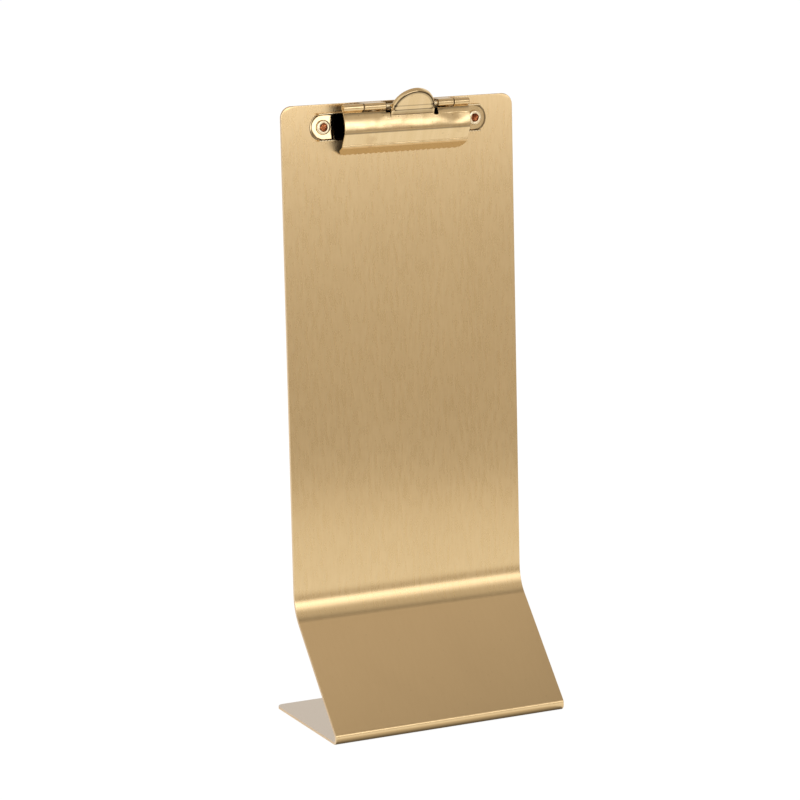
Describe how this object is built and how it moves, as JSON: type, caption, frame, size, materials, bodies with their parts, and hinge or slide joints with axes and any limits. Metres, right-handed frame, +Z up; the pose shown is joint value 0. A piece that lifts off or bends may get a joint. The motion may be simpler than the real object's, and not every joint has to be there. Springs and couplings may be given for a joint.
{
  "type": "menu holder",
  "caption": "Free-standing table menu holder: a bent sheet-metal stand with a tall, slightly leaning panel and a sprung, hinged clip across its top that grips a card.",
  "frame": {"origin": "on the table, under the middle of the foot, halfway between the front fold and the rear edge and halfway across the sheet", "axes": "+Z up, -Y towards the front face that shows the menu, +X to the right as seen from the front"},
  "size_m": [0.11, 0.061, 0.2706],
  "materials": {
    "sheet_brass": "brushed satin, fine grain along the panel's height",
    "clip_brass": "polished plate",
    "spring_steel": "drawn wire",
    "rivet_brass": "plated ring with a coppery hollow"
  },
  "bodies": {
    "stand": {"stand_sheet": "sheet_brass", "clip_base_plate": "clip_brass", "hinge_pin": "clip_brass", "torsion_spring": "spring_steel", "rivet_left": "rivet_brass", "rivet_right": "rivet_brass"},
    "jaw": {"clip_jaw": "clip_brass"}
  },
  "joints": [
    {"name": "jaw_hinge", "type": "hinge", "parent": "stand", "child": "jaw", "pos_m": [0, 0.01297, 0.26347], "axis": [-1, 0, 0], "range_deg": [0, 45], "stiffness_Nm_per_rad": 0.15, "springref_deg": -22.92, "deforming": ["torsion_spring"]}
  ]
}
